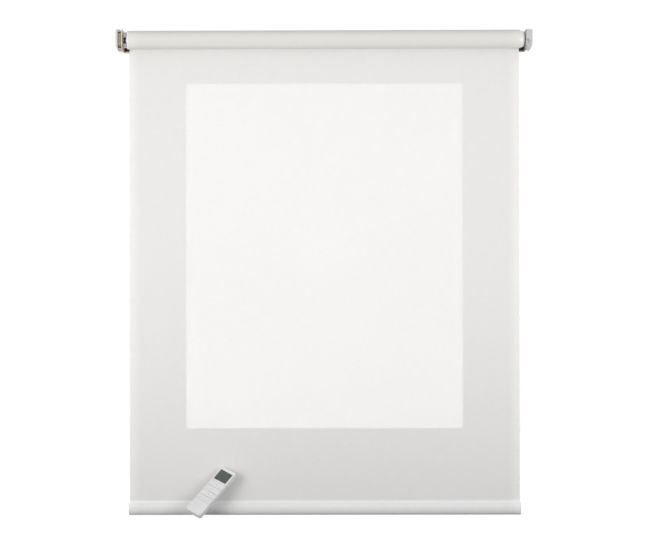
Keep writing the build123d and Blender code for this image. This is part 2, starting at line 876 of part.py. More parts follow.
def idler_plug():
    flange_start = tube_end - plug_flange
    tip = (dome_tip, dome_tip_radius)
    base = (flange_start, dome_base_radius)
    dome = SagittaArc(tip, base, dome_bulge)
    rest = Polyline(base, (flange_start, 0), (dome_tip, 0), tip)
    outline = Pos(0, axis_y) * make_face(dome.edges() + rest.edges())
    plug = revolve(outline, Axis((0, axis_y, 0), (1, 0, 0)), 360)
    plug += rod(plug_flange_radius, flange_start, tube_end)
    plug += rod(fit_radius, tube_end, plug_end)
    plug -= sleeve(fit_radius - plug_rim, plug_hub_radius, plug_hollow, plug_end + 1)
    half = plug_rib / 2
    span = fit_radius - plug_rim / 2
    plug += block((plug_hollow, plug_end), (axis_y - half, axis_y + half), (-span, span))
    plug += block((plug_hollow, plug_end), (axis_y - span, axis_y + span), (-half, half))
    key_half = keyway_width / 2 + tube_wall + plug_rim
    key_low = tube_radius - keyway_depth - tube_wall - 2 * plug_rim
    key = block((plug_hollow, plug_end), (axis_y - key_half, axis_y + key_half), (key_low, fit_radius))
    plug += key & rod(fit_radius, plug_hollow, plug_end)
    plug -= keyway_room(running_gap) & rod(2 * tube_radius, tube_end, plug_end + 1)
    for index in range(plug_notch_count):
        turn = Rot(360.0 * index / plug_notch_count, 0, 0)
        notch_z = (plug_flange_radius - plug_notch_depth, plug_flange_radius + 1)
        notch = block((flange_start - 0.01, tube_end), (-plug_notch / 2, plug_notch / 2), notch_z)
        plug -= Pos(0, axis_y, 0) * turn * notch
    plug -= rod(pin_radius + running_gap, dome_tip - 1, plug_shoulder + 1)
    return plug - rod(plug_bore_radius, plug_shoulder, plug_end + 1)


def idler_pin():
    pin = rod(pin_radius, -pin_reach, collar_start)
    pin = chamfer(pin.edges().sort_by(Axis.X)[0], pin_lead)
    pin += rod(pin_collar_radius, collar_start, collar_end)
    return pin + rod(pin_tail_radius, collar_end, plug_end - 1)


def idler_cap():
    return sleeve(plug_bore_radius - seat_gap, pin_tail_radius + running_gap, plug_cap_start, plug_end)


def helix_point(turns, radius, pitch, start):
    """A point of the spring and the direction of its wire there."""
    angle = 2 * pi * turns
    point = Vector(start + pitch * turns, axis_y + radius * cos(angle), radius * sin(angle))
    slope = pitch / (2 * pi)
    return point, Vector(slope, -radius * sin(angle), radius * cos(angle)).normalized()


def biarc(start, start_direction, end, end_direction):
    """Two arcs that leave one point and reach another in the given directions."""
    across = end - start
    both = start_direction + end_direction
    bend = 2 * (1 - start_direction.dot(end_direction))
    reach = across.dot(both)
    handle = (sqrt(reach**2 + bend * across.dot(across)) - reach) / bend
    middle = (start + start_direction * handle + end - end_direction * handle) * 0.5
    turned = (end - end_direction * handle) - (start + start_direction * handle)
    return [
        TangentArc(start, middle, tangent=start_direction),
        TangentArc(middle, end, tangent=turned),
    ]


def idler_spring():
    start = collar_end + spring_wire + running_gap
    length = spring_room - 2 * (spring_wire + running_gap)
    pitch = length / spring_turns
    quarters = 4 * spring_turns
    path = []
    for quarter in range(quarters):
        point, direction = helix_point(quarter / 4, spring_radius, pitch, start)
        next_point, next_direction = helix_point((quarter + 1) / 4, spring_radius, pitch, start)
        path += biarc(point, direction, next_point, next_direction)
    wire_path = Wire([edge for arc in path for edge in arc.edges()])
    point, direction = helix_point(0, spring_radius, pitch, start)
    section = Plane(origin=point, z_dir=direction) * Circle(spring_wire)
    print("idler spring: least gap between turns", round(pitch - 2 * spring_wire, 2), "mm")
    return sweep(section, path=wire_path)


# Handset
deck_top = handset_depth - face_thickness
deck_low = deck_top - deck_thickness
display_middle = handset_length - display_top_margin - display_height / 2
keys_high = display_middle - display_height / 2 - keys_below_display
keys_middle = (keys_low + keys_high) / 2
key_pitch = (keys_high - keys_low) / key_rows
board_top = parting_height + board_rise
key_low = deck_low - running_gap - key_lip_thickness
mat_top = key_low - key_travel - running_gap
board_low = board_top - handset_board_thickness
board_high = handset_length - screw_inset - screw_boss_radius - slip_gap
screw_places = [
    (side * (handset_width / 2 - screw_inset), y)
    for side in (-1, 1)
    for y in (screw_inset, handset_length - screw_inset)
]


def handset_slab(inset, low, high, corner=None):
    """The handset's own outline, drawn in by an inset, between two depths."""
    radius = handset_corner - inset if corner is None else corner
    width = handset_width - 2 * inset
    length = handset_length - 2 * inset
    outline = Pos(0, handset_length / 2) * RectangleRounded(width, length, radius)
    return extrude(Plane.XY.offset(low) * outline, high - low)


def pillar(radius, low, high, x=0.0, y=0.0):
    """A round bar along the handset's depth."""
    return Pos(x, y, (low + high) / 2) * Cylinder(radius, high - low)


def panel(width, length, middle_y, low, high, x=0.0):
    """A box with a given width and length, between two depths."""
    return Pos(x, middle_y, (low + high) / 2) * Box(width, length, high - low)


def handset_back():
    back = handset_slab(0, 0, parting_height)
    back = fillet(back.faces().sort_by(Axis.Z)[0].edges(), handset_edge)
    back -= handset_slab(handset_wall, handset_wall, parting_height + 1)
    floor_width = door_width + 2 * (door_tongue + door_surround)
    floor_length = door_length + door_surround - handset_wall / 2
    floor_middle = (door_length + door_surround + handset_wall / 2) / 2
    back += panel(floor_width, floor_length, floor_middle, handset_wall / 2, door_floor)
    for x, y in screw_places:
        back += pillar(screw_boss_radius, handset_wall, parting_height, x, y)

    # The well of the coin cell, and the way that the door slides
    top = well_height
    back += pillar(well_radius + well_wall, handset_wall, top, 0, well_centre)
    back -= pillar(well_radius, -1, top + 1, 0, well_centre)
    room = running_gap
    length = door_length + room + 1
    middle = (door_length + room - 1) / 2
    back -= panel(door_width + 2 * room, length, middle, -1, door_thickness + room)
    tongue_low = door_thickness - door_tongue_thickness - room
    tongue_width = door_width + 2 * door_tongue + 2 * room
    back -= panel(tongue_width, length, middle, tongue_low, door_thickness + room)
    for x, y in screw_places:
        back -= pillar(screw_radius + room, -1, parting_height + 1, x, y)
        back -= pillar(screw_head_radius + room, -1, screw_recess + screw_head_height, x, y)
    return back


def handset_front():
    front = handset_slab(0, parting_height + seat_gap, deck_top)
    front = fillet(front.faces().sort_by(Axis.Z)[-1].edges(), face_inset)
    front -= handset_slab(handset_wall, parting_height - 1, deck_low)
    opening_width = display_width - 2 * display_rest
    opening_height = display_height - 2 * display_rest
    front -= panel(opening_width, opening_height, display_middle, deck_low - 1, deck_top + 1)
    front -= panel(key_field_width, keys_high - keys_low, keys_middle, deck_low - 1, deck_top + 1)
    for x, y in screw_places:
        front += pillar(screw_boss_radius, parting_height + seat_gap, deck_low, x, y)
        front -= pillar(screw_radius, parting_height - 1, deck_low, x, y)
    return front


def handset_face():
    face = handset_slab(face_inset, deck_top, handset_depth)
    face = fillet(face.faces().sort_by(Axis.Z)[-1].edges(), face_edge)
    face -= panel(display_width, display_height, display_middle, deck_top - 1, handset_depth + 1)
    keys = panel(key_field_width, keys_high - keys_low, keys_middle, deck_top - 1, handset_depth + 1)
    return face - keys


def display_window():
    width = display_width - 2 * running_gap
    height = display_height - 2 * running_gap
    return panel(width, height, display_middle, deck_top, deck_top + window_thickness)


def display_panel():
    width = display_width - panel_margin
    height = display_height - panel_margin
    return panel(width, height, display_middle, board_top, deck_low - running_gap)


def handset_board():
    length = board_high - handset_board_low
    middle = (board_high + handset_board_low) / 2
    width = handset_width - 2 * handset_wall - 2 * slip_gap
    board = panel(width, length, middle, board_low, board_top)
    for x, y, part_width, part_length, depth in handset_board_parts:
        board += panel(part_width, part_length, y, board_low - depth, board_low, x)
    return board


def keypad_mat():
    length = keys_high - keys_low
    return panel(key_field_width - 1, length, keys_middle, board_top, mat_top)


def key(row, column=None):
    """One key. Rows count from the bottom; a column is -1 or 1 on a split row."""
    middle = keys_low + key_pitch * (row + 0.5)
    length = key_pitch - key_slit
    full = key_field_width - key_slit
    width = full if column is None else (full - key_slit) / 2
    x = 0.0 if column is None else column * (width + key_slit) / 2
    cap = panel(width, length, middle, key_low, handset_depth + key_stand, x)
    cap = fillet(cap.faces().sort_by(Axis.Z)[-1].edges(), key_edge)
    for side in (-1, 1) if column is None else (column,):
        edge = side * full / 2
        lip = key_lip + key_edge
        lip_x = edge + side * (key_lip - key_edge) / 2
        cap += panel(lip, length, middle, key_low, key_low + key_lip_thickness, lip_x)
    return cap


def battery_door():
    plate = panel(door_width, door_length, door_length / 2, 0, door_thickness)
    tongue_width = door_width + 2 * door_tongue
    tongue_low = door_thickness - door_tongue_thickness
    tongue_length = door_length - door_stop
    tongue_middle = door_stop + tongue_length / 2
    door = plate + panel(tongue_width, tongue_length, tongue_middle, tongue_low, door_thickness)
    for step in range(1, 5):
        groove_y = door_stop + 3 * door_ridge * step
        door -= panel(door_ridge_length, door_ridge, groove_y, 0, door_ridge_depth)
    return door


def coin_cell():
    low = door_thickness + 2 * running_gap
    return pillar(coin_radius, low, low + coin_thickness, 0, well_centre)


def battery_contacts():
    """Two spring strips from the coin cell to the circuit board."""
    top = door_thickness + 2 * running_gap + coin_thickness
    strips = []
    for x in contact_places:
        length = handset_board_low - well_centre
        middle = well_centre + length / 2
        low = well_height + running_gap
        strip = panel(contact_width, length, middle, low, low + contact_thickness, x)
        foot_y = well_centre + contact_foot / 2
        foot = panel(contact_width, contact_foot, foot_y, top + running_gap, low, x)
        strips.append(strip + foot)
    return strips


def handset_screws():
    screws = []
    for x, y in screw_places:
        head_top = screw_recess + screw_head_height
        screw = pillar(screw_radius, screw_recess, deck_low - running_gap, x, y)
        screws.append(screw + pillar(screw_head_radius, screw_recess, head_top, x, y))
    return screws


def stand_handset(shape):
    """The handset from its own axes to where it leans."""
    face = handset_face_lean.normalized()
    across = handset_up.cross(face).normalized()
    face = across.cross(handset_up).normalized()
    top_left = across * (-handset_width / 2) + handset_up * handset_length
    foot_right = across * (handset_width / 2)
    y = hem_front - slip_gap - top_left.Y
    z = hem_low - foot_right.Z
    return Plane(origin=(handset_x, y, z), x_dir=across, z_dir=face).location * shape


def both_ends(shape):
    return [left(shape), right(shape)]


seat_screws = [end for place in seat_screw_places for end in both_ends(seat_screw(*place))]

nodes = {
    "left_bracket_plate": left(bracket_plate(plate_top)),
    "right_bracket_plate": right(bracket_plate(idler_plate_top)),
    "left_bracket_cover": left(motor_side_cover()),
    "right_bracket_cover": right(idler_side_cover()),
    "motor_seat": left(seat_cup()),
    "idler_seat": right(seat_cup()),
    "left_release_lever": left(release_lever()),
    "right_release_lever": right(release_lever()),
    "lever_rivets": both_ends(lever_rivet()),
    "seat_screws": seat_screws,
    "roller_tube": roller_tube(),
    "fabric_strip": fabric_strip(),
    "fabric_roll": fabric_roll(),
    "fabric_sheet": fabric_sheet(),
    "hem_pocket": hem_pocket(),
    "hem_bar": hem_bar(),
    "hem_end_caps": [hem_end_cap(), mirror(hem_end_cap(), about=Plane.YZ)],
    "motor_head": left(motor_head()),
    "head_trim_ring": left(head_trim_ring()),
    "charging_inlet": left(charging_inlet()),
    "set_button": left(set_button()),
    "crown_ring": left(crown_ring()),
    "motor_housing": left(motor_housing()),
    "control_board": left(control_board()),
    "battery_tray": left(battery_tray()),
    "battery_cells": [left(cell) for cell in battery_cells()],
    "motor_can": left(motor_can()),
    "motor_rotor": left(motor_rotor()),
    "ring_gear": left(ring_gear()),
    "first_carrier": left(first_carrier()),
    "output_carrier": left(output_carrier()),
    "gearbox_cap": left(gearbox_cap()),
    "drive_wheel": left(drive_wheel()),
    "idler_bush": right(idler_bush()),
    "idler_plug": right(idler_plug()),
    "idler_pin": right(idler_pin()),
    "idler_spring": right(idler_spring()),
    "idler_cap": right(idler_cap()),
    "handset_back": stand_handset(handset_back()),
    "handset_front": stand_handset(handset_front()),
    "handset_face": stand_handset(handset_face()),
    "display_window": stand_handset(display_window()),
    "display_panel": stand_handset(display_panel()),
    "handset_board": stand_handset(handset_board()),
    "keypad_mat": stand_handset(keypad_mat()),
    "key_up": stand_handset(key(3)),
    "key_stop": stand_handset(key(2)),
    "key_down": stand_handset(key(1)),
    "key_left": stand_handset(key(0, -1)),
    "key_right": stand_handset(key(0, 1)),
    "battery_door": stand_handset(battery_door()),
    "coin_cell": stand_handset(coin_cell()),
    "battery_contacts": [stand_handset(strip) for strip in battery_contacts()],
    "handset_screws": [stand_handset(screw) for screw in handset_screws()],
}
for number, turn in enumerate(planet_turns, start=1):
    nodes[f"first_planet_{number}"] = left(planet(first_gear, first_gear_width, turn))
    nodes[f"second_planet_{number}"] = left(planet(second_gear, second_gear_width, turn))

os.makedirs("parts", exist_ok=True)
for name, shape in nodes.items():
    solids = shape if isinstance(shape, list) else [shape]
    export_step(Compound([solid for item in solids for solid in item.solids()]), f"parts/{name}.step")
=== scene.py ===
import json
from math import acos, atan2, cos, hypot, pi, radians, sin

import bpy
from mathutils import Matrix, Vector, noise


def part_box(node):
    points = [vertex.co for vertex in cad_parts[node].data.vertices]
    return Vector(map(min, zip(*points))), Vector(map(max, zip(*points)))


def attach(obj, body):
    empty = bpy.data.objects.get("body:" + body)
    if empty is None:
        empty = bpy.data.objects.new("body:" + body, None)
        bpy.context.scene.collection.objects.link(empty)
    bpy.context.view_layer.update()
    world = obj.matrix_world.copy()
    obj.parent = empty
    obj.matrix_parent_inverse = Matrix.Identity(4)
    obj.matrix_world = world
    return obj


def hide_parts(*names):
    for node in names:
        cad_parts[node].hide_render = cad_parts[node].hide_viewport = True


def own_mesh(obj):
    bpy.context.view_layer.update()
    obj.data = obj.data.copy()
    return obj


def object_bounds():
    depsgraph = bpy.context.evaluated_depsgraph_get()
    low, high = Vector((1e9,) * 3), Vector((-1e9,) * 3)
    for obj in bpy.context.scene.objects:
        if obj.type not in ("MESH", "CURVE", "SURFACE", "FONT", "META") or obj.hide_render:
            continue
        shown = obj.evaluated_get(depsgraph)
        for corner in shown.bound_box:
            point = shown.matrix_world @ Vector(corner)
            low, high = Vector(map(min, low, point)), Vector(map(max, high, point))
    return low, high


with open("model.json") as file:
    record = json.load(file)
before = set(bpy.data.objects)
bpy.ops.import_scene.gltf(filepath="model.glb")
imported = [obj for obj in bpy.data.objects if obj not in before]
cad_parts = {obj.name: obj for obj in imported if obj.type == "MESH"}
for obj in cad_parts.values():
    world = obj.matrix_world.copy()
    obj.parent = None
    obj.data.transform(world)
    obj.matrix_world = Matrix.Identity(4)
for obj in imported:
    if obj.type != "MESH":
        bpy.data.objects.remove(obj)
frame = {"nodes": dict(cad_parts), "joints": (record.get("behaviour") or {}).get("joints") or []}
cad_low, cad_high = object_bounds()
nodes = frame["nodes"]
joints = {joint["name"]: joint for joint in frame["joints"]}
sheet_low, sheet_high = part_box("fabric_sheet")
pocket_low, pocket_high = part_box("hem_pocket")

# Camera: where it stands in metres, and how it is turned
CAMERA_PLACE = (0.044, -4.799, -0.602)
CAMERA_TURN = radians(0.509)
CAMERA_TILT = radians(0.4)
CAMERA_ROLL = radians(-0.108)
CAMERA_LENS = 109.55

# Where the left cover's face ends and its rim begins, in metres; the rim takes a greyer colour as
# painted shade
COVER_FACE_DEPTH = 0.0046
COVER_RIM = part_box("left_bracket_cover")[0].x + COVER_FACE_DEPTH
RIM_BLUR = 0.0003

# Noise textures lie mostly between these values
NOISE_LOW = 0.3
NOISE_HIGH = 0.7

# A wave texture turns by this many radians in each unit of its coordinates
WAVE_RATE = 20.0

# Fabric, in metres: each lap on the roll presses a little into the next
CLOTH = 0.0005
LAPS = 3
LAP_PRESS = 0.00004
ROLL_AXIS_Y = -0.034
THREAD_PITCH = 0.0009
SHEET_WAVE = 0.0006
HELD_BY_ROLL = (0.02, 0.35)
HELD_BY_HEM = (0.01, 0.25)
EDGE_BAND = (0.40, 0.473)
CLOTH_HALF = sheet_high.x
# Painted light: how far in from the side edges, in metres, the cloth's colour is made lighter, and by
# what factor
EDGE_LIGHT_WIDTH = 0.03
EDGE_LIGHT_GAIN = 1.07
SHARP_EDGE = radians(35)

# Slubs to a metre, across the cloth and along it
WEFT_SLUBS = (38.0, 420.0, 1.0)
WARP_SLUBS = (420.0, 30.0, 1.0)

# Hem pocket, in metres
WELD_HEIGHT = 0.003
WELD_RADIUS = 0.001
SEAM_HALF = CLOTH * 0.52
FLANK_BOW = 0.0006
PUCKER_DEPTH = 0.0003
PUCKER_FULL = 0.004
PUCKER_END = 0.016
PUCKER_START = 0.002

# Light of the surroundings, and the white that the camera sees behind the object
STUDIO_LEVEL = 0.62
WHITE = 1.0

# Floor: its shade, its glow for the camera, and where in metres it fades to plain white
FLOOR_REACH = 30.0
FLOOR_GAP = 0.0004
FLOOR_SHADE = 0.08
FLOOR_GLOW = 0.945
FADE_SHAPE = (0.5, 1.0, 0.0)
FADE_FROM = 0.25
FADE_TO = 1.0

# Lamps: places in metres, powers in watts
LAMP_TARGET = (0.0, 0.0, -0.5)
KEY_PLACE = (-1.2, -2.0, -0.55)
KEY_POWER = 16.7
FILL_PLACE = (1.2, -2.0, -0.55)
FILL_POWER = 12.9
FILL_COLOUR = (0.965, 0.975, 1.0)
DAYLIGHT_PLACE = (0.0, 1.2, -0.5)
DAYLIGHT_POWER = 5.7

# The lamp that lights the cloth as a window behind it would
GLOW_PLACE = (0.0, -0.021, -0.521)
GLOW_TARGET = (0.0, 1.0, -0.521)
GLOW_SIZE = (0.669, 0.834)
GLOW_POWER = 0.24
GLOW_COLOUR = (1.0, 0.99, 0.985)
GLOW_SPREAD = radians(30)
GLOW_FOOT = 1.55


def smooth(value, low, high):
    """From 0 at low to 1 at high, with a soft start and end."""
    t = min(max((value - low) / (high - low), 0.0), 1.0)
    return t * t * (3 - 2 * t)


def evenly(count):
    """The same count to a metre in all three directions."""
    return (count, count, count)


# Material nodes
class Shading:
    """One material's node tree, with short ways to add what it needs."""

    def __init__(self, name, roughness, metallic=0.0, hung=False):
        self.hung = hung
        self.material = bpy.data.materials.new(name)
        self.material.use_nodes = True
        self.tree = self.material.node_tree
        self.surface = self.tree.nodes["Principled BSDF"]
        self.surface.inputs["Roughness"].default_value = roughness
        self.surface.inputs["Metallic"].default_value = metallic

    def add(self, kind, **settings):
        node = self.tree.nodes.new(kind)
        for key, value in settings.items():
            setattr(node, key, value)
        return node

    def join(self, start, end):
        self.tree.links.new(start, end)

    def cloth_places(self):
        """Places along the cloth. Hung cloth shortens as it rises, so it takes its places in space."""
        if not self.hung:
            return self.add("ShaderNodeUVMap", uv_map="cloth").outputs["UV"]
        split = self.add("ShaderNodeSeparateXYZ")
        self.join(self.add("ShaderNodeTexCoord").outputs["Object"], split.inputs["Vector"])
        flat = self.add("ShaderNodeCombineXYZ")
        self.join(split.outputs["X"], flat.inputs["X"])
        self.join(split.outputs["Z"], flat.inputs["Y"])
        return flat.outputs["Vector"]

    def places(self, scale, cloth=False):
        """Coordinates in metres, times a scale for each axis."""
        if cloth:
            source = self.cloth_places()
        else:
            source = self.add("ShaderNodeTexCoord").outputs["Object"]
        mapping = self.add("ShaderNodeMapping")
        mapping.inputs["Scale"].default_value = scale
        self.join(source, mapping.inputs["Vector"])
        return mapping.outputs["Vector"]

    def noise(self, scale, detail=2.0, cloth=False):
        node = self.add("ShaderNodeTexNoise")
        node.inputs["Scale"].default_value = 1.0
        node.inputs["Detail"].default_value = detail
        self.join(self.places(scale, cloth), node.inputs["Vector"])
        return node.outputs["Fac"]

    def ramp(self, value, stops):
        node = self.add("ShaderNodeValToRGB")
        elements = node.color_ramp.elements
        for element, (place, colour) in zip(elements, (stops[0], stops[-1])):
            element.position = place
            element.color = (*colour, 1.0)
        for place, colour in stops[1:-1]:
            elements.new(place).color = (*colour, 1.0)
        self.join(value, node.inputs["Fac"])
        return node.outputs["Color"]

    def between(self, value, low, high):
        """A noise's middle part, spread from low to high."""
        node = self.add("ShaderNodeMapRange")
        node.inputs["From Min"].default_value = NOISE_LOW
        node.inputs["From Max"].default_value = NOISE_HIGH
        node.inputs["To Min"].default_value = low
        node.inputs["To Max"].default_value = high
        self.join(value, node.inputs["Value"])
        return node.outputs["Result"]

    def maths(self, operation, first, second):
        node = self.add("ShaderNodeMath", operation=operation)
        for socket, value in zip(node.inputs, (first, second)):
            if isinstance(value, (int, float)):
                socket.default_value = value
            else:
                self.join(value, socket)
        return node.outputs["Value"]

    def tinted(self, value, colour, spread):
        """A colour that varies by a share of itself with the value."""
        darker = tuple(channel * (1 - spread) for channel in colour)
        lighter = tuple(channel * (1 + spread) for channel in colour)
        return self.ramp(value, [(NOISE_LOW, darker), (NOISE_HIGH, lighter)])

    def painted_rim_shade(self):
        """0 on the left cover's face and 1 on its rim, which the plate holds: the mask of the rim's
        painted shade.
        """
        split = self.add("ShaderNodeSeparateXYZ")
        self.join(self.places(evenly(1.0)), split.inputs["Vector"])
        share = self.add("ShaderNodeMapRange")
        share.inputs["From Min"].default_value = COVER_RIM - RIM_BLUR
        share.inputs["From Max"].default_value = COVER_RIM
        self.join(split.outputs["X"], share.inputs["Value"])
        return share.outputs["Result"]

    def blended(self, share, first, second):
        """One colour where the share is 0 and another where it is 1."""
        node = self.add("ShaderNodeMix", data_type="RGBA")
        colours = [socket for socket in node.inputs if socket.type == "RGBA"]
        self.join(share, node.inputs["Factor"])
        self.join(first, colours[0])
        self.join(second, colours[1])
        return next(socket for socket in node.outputs if socket.type == "RGBA")

    def sized(self, colour, share):
        """A colour times a share."""
        node = self.add("ShaderNodeVectorMath", operation="SCALE")
        self.join(colour, node.inputs[0])
        self.join(share, node.inputs["Scale"])
        return node.outputs["Vector"]

    def bumped(self, height, depth, strength=1.0):
        node = self.add("ShaderNodeBump")
        node.inputs["Strength"].default_value = strength
        node.inputs["Distance"].default_value = depth
        self.join(height, node.inputs["Height"])
        return node.outputs["Normal"]


def weave_height(shading):
    """Threads over and under each other, from two crossed waves."""
    turns = 2 * pi / WAVE_RATE / THREAD_PITCH
    rise = []
    for direction in ("X", "Y"):
        wave = shading.add("ShaderNodeTexWave", bands_direction=direction)
        wave.inputs["Scale"].default_value = 1.0
        wave.inputs["Distortion"].default_value = 0.6
        wave.inputs["Detail"].default_value = 1.0
        shading.join(shading.places(evenly(turns), cloth=True), wave.inputs["Vector"])
        rise.append(wave.outputs["Fac"])
    return shading.maths("MULTIPLY", *rise)


def painted_edge_light(shading):
    """Painted light: a little more than 1 near the cloth's side edges, which lightens its colour there
    for the light that wraps round the edges.
    """
    across = shading.add("ShaderNodeSeparateXYZ")
    shading.join(shading.places(evenly(1.0), cloth=True), across.inputs["Vector"])
    glow = shading.add("ShaderNodeMapRange", interpolation_type="SMOOTHSTEP")
    glow.inputs["From Min"].default_value = CLOTH_HALF - EDGE_LIGHT_WIDTH
    glow.inputs["From Max"].default_value = CLOTH_HALF
    glow.inputs["To Min"].default_value = 1.0
    glow.inputs["To Max"].default_value = EDGE_LIGHT_GAIN
    shading.join(shading.maths("ABSOLUTE", across.outputs["X"], 0.0), glow.inputs["Value"])
    return glow.outputs["Result"]


def cloth(name, colour, through_share, hung=False):
    """Woven cloth with slubs in both directions, which lets some light through."""
    shading = Shading(name, roughness=0.85, hung=hung)
    weft = shading.noise(WEFT_SLUBS, 3.0, cloth=True)
    warp = shading.noise(WARP_SLUBS, 3.0, cloth=True)
    weft, warp = shading.maths("MULTIPLY", weft, 0.6), shading.maths("MULTIPLY", warp, 0.4)
    slubs = shading.maths("ADD", weft, warp)
    tint = shading.tinted(slubs, colour, 0.022)
    # Painted light: the colour is made lighter near the side edges
    tint = shading.sized(tint, painted_edge_light(shading))
    shading.join(tint, shading.surface.inputs["Base Color"])
    height = shading.maths("ADD", weave_height(shading), shading.maths("MULTIPLY", slubs, 1.5))
    normal = shading.bumped(height, 0.0001)
    shading.join(normal, shading.surface.inputs["Normal"])
    shading.surface.inputs["Sheen Weight"].default_value = 0.15
    shading.surface.inputs["Sheen Roughness"].default_value = 0.5
    shading.surface.inputs["Specular IOR Level"].default_value = 0.25
    through = shading.add("ShaderNodeBsdfTranslucent")
    shading.join(tint, through.inputs["Color"])
    shading.join(normal, through.inputs["Normal"])
    mix = shading.add("ShaderNodeMixShader")
    mix.inputs["Fac"].default_value = through_share
    shading.join(shading.surface.outputs["BSDF"], mix.inputs[1])
    shading.join(through.outputs["BSDF"], mix.inputs[2])
    output = shading.tree.nodes["Material Output"]
    shading.join(mix.outputs["Shader"], output.inputs["Surface"])
    return shading.material


def plastic(name, colour, roughness, grain=0.000015, spread=0.03, coat=0.0, shine=0.5, rim=None):
    """Moulded plastic: a fine spark-eroded grain, and faint clouds in colour and gloss.

    A rim is another colour, for what lies inward of the left cover's face: a greyer painted shade.
    """
    shading = Shading(name, roughness)
    clouds = shading.noise(evenly(60.0), 4.0)
    tint = shading.tinted(clouds, colour, spread)
    if rim:
        # Painted shade: the cover's rim takes a greyer colour
        tint = shading.blended(shading.painted_rim_shade(), tint, shading.tinted(clouds, rim, spread))
    shading.join(tint, shading.surface.inputs["Base Color"])
    gloss = shading.between(clouds, roughness * 0.85, roughness * 1.15)
    shading.join(gloss, shading.surface.inputs["Roughness"])
    fine = shading.noise(evenly(2600.0), 2.0)
    shading.join(shading.bumped(fine, grain), shading.surface.inputs["Normal"])
    shading.surface.inputs["Specular IOR Level"].default_value = shine
    shading.surface.inputs["Coat Weight"].default_value = coat
    shading.surface.inputs["Coat Roughness"].default_value = 0.08
    return shading.material


def brushed(name, colour, roughness, along, spread=0.08):
    """Metal with fine lines along one axis, and smudges in its gloss."""
    shading = Shading(name, roughness, metallic=1.0)
    scale = list(evenly(2200.0))
    scale["XYZ".index(along)] = 40.0
    lines = shading.noise(tuple(scale), 3.0)
    smudges = shading.noise(evenly(90.0), 4.0)
    shading.join(shading.tinted(lines, colour, spread), shading.surface.inputs["Base Color"])
    gloss = shading.between(smudges, roughness * 0.75, roughness * 1.3)
    shading.join(gloss, shading.surface.inputs["Roughness"])
    shading.join(shading.bumped(lines, 0.00002), shading.surface.inputs["Normal"])
    return shading.material


def plated(name, colour, tint, roughness, metallic):
    """Zinc plate: grains that each shine a little differently, under a passivation film."""
    shading = Shading(name, roughness, metallic)
    grains = shading.add("ShaderNodeTexVoronoi")
    grains.inputs["Scale"].default_value = 1.0
    shading.join(shading.places(evenly(420.0)), grains.inputs["Vector"])
    clouds = shading.noise(evenly(70.0), 4.0)
    value = shading.maths("MULTIPLY", grains.outputs["Color"], 0.35)
    value = shading.maths("ADD", value, shading.maths("MULTIPLY", clouds, 0.65))
    stops = [(0.25, colour), (0.75, tint)]
    shading.join(shading.ramp(value, stops), shading.surface.inputs["Base Color"])
    gloss = shading.between(clouds, roughness * 0.8, roughness * 1.25)
    shading.join(gloss, shading.surface.inputs["Roughness"])
    shading.join(shading.bumped(value, 0.00003), shading.surface.inputs["Normal"])
    return shading.material


def circuit_board():
    """Green lacquer over copper tracks, with a fine glass weave under it."""
    shading = Shading("circuit_board", 0.35)
    tracks = shading.add("ShaderNodeTexBrick")
    tracks.inputs["Scale"].default_value = 300.0
    tracks.inputs["Mortar Size"].default_value = 0.12
    tracks.inputs["Color1"].default_value = (0.02, 0.16, 0.06, 1.0)
    tracks.inputs["Color2"].default_value = (0.03, 0.2, 0.08, 1.0)
    tracks.inputs["Mortar"].default_value = (0.06, 0.28, 0.12, 1.0)
    shading.join(shading.places(evenly(1.0)), tracks.inputs["Vector"])
    shading.join(tracks.outputs["Color"], shading.surface.inputs["Base Color"])
    shading.join(shading.bumped(tracks.outputs["Fac"], 0.00003), shading.surface.inputs["Normal"])
    return shading.material


def display_glass():
    """Clear plastic with finger smudges in its gloss."""
    shading = Shading("display_glass", 0.06)
    smudges = shading.noise(evenly(150.0), 5.0)
    shading.join(shading.between(smudges, 0.04, 0.1), shading.surface.inputs["Roughness"])
    shading.surface.inputs["Base Color"].default_value = (0.9, 0.95, 0.9, 1.0)
    shading.surface.inputs["Transmission Weight"].default_value = 1.0
    shading.surface.inputs["IOR"].default_value = 1.45
    return shading.material


def liquid_crystal():
    """The unlit display: dark green with faint rows of cells."""
    shading = Shading("liquid_crystal", 0.45)
    clouds = shading.noise(evenly(45.0), 3.0)
    lines = shading.add("ShaderNodeTexWave", bands_direction="Z")
    lines.inputs["Scale"].default_value = 520.0
    shading.join(shading.places(evenly(1.0)), lines.inputs["Vector"])
    rows = shading.maths("MULTIPLY", lines.outputs["Fac"], 0.1)
    value = shading.maths("ADD", shading.maths("MULTIPLY", clouds, 0.8), rows)
    stops = [(0.25, (0.024, 0.038, 0.022)), (0.75, (0.038, 0.056, 0.034))]
    shading.join(shading.ramp(value, stops), shading.surface.inputs["Base Color"])
    shading.join(shading.bumped(lines.outputs["Fac"], 0.00001), shading.surface.inputs["Normal"])
    return shading.material


